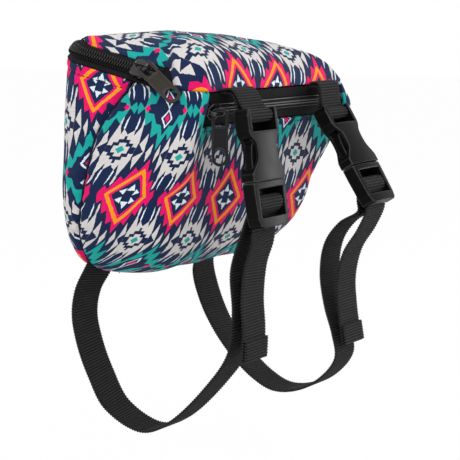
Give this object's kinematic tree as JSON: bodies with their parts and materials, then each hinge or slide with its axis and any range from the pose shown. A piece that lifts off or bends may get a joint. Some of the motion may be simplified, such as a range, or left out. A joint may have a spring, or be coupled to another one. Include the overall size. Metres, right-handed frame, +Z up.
{
  "type": "saddle pouch",
  "caption": "Zipped cloth saddle pouch in a printed zigzag-diamond canvas, with a zipped front pocket and webbing straps on side-release buckles.",
  "frame": {"origin": "middle of the back panel's flat outer face, 62 mm above the pouch's lowest point", "axes": "+X along the pouch to its right as seen from the front, +Y out of the back panel, +Z up; the buckles are on the -Y side"},
  "size_m": [0.1836, 0.1404, 0.2237],
  "materials": {
    "printed_canvas": "printed plain-weave canvas in cream, navy, pink, orange and teal",
    "lining": "plain dark lining",
    "zip_tape": "black herringbone tape",
    "zip_coil": "black nylon coil",
    "zip_slider": "gloss black",
    "zip_puller": "satin dark olive black",
    "webbing": "black ribbed webbing",
    "buckle": "satin black"
  },
  "bodies": {
    "pouch": {"back_panel": "printed_canvas", "front_panel": "printed_canvas", "lid_panel": "printed_canvas", "pocket_lining": "lining", "main_zip_lid_tape": "zip_tape", "main_zip_body_tape": "zip_tape", "main_zip_lid_coil": "zip_coil", "main_zip_body_coil": "zip_coil", "pocket_zip_upper_tape": "zip_tape", "pocket_zip_lower_tape": "zip_tape", "pocket_zip_upper_coil": "zip_coil", "pocket_zip_lower_coil": "zip_coil", "left_buckle_tab": "webbing", "left_buckle_socket": "buckle", "left_strap": "webbing", "right_buckle_tab": "webbing", "right_buckle_socket": "buckle", "right_strap": "webbing"},
    "main_slider": {"main_zip_slider": "zip_slider"},
    "main_puller": {"main_zip_puller": "zip_puller"},
    "pocket_slider": {"pocket_zip_slider": "zip_slider"},
    "pocket_puller": {"pocket_zip_puller": "zip_puller"},
    "left_plug": {"left_buckle_plug": "buckle"},
    "right_plug": {"right_buckle_plug": "buckle"}
  },
  "joints": [
    {"name": "main_zip_slide", "type": "slide", "parent": "pouch", "child": "main_slider", "axis": [0, 0.9719, 0.2356], "range_m": [0, 0.03]},
    {"name": "main_puller_swing", "type": "hinge", "parent": "main_slider", "child": "main_puller", "pos_m": [-0.08375, -0.05823, 0.0559], "axis": [-0.6059, 0.5294, -0.5938], "range_deg": [0, 150]},
    {"name": "pocket_zip_slide", "type": "slide", "parent": "pouch", "child": "pocket_slider", "axis": [1, 0, 0], "range_m": [0, 0.098]},
    {"name": "pocket_puller_swing", "type": "hinge", "parent": "pocket_slider", "child": "pocket_puller", "pos_m": [-0.0715, -0.09866, 0.03038], "axis": [-1, 0, 0], "range_deg": [0, 150]},
    {"name": "left_buckle_release", "type": "slide", "parent": "pouch", "child": "left_plug", "axis": [0, -0.1392, -0.9903], "range_m": [0, 0.03], "deforming": ["left_strap"]},
    {"name": "right_buckle_release", "type": "slide", "parent": "pouch", "child": "right_plug", "axis": [0, -0.515, -0.8572], "range_m": [0, 0.03], "deforming": ["right_strap"]}
  ]
}
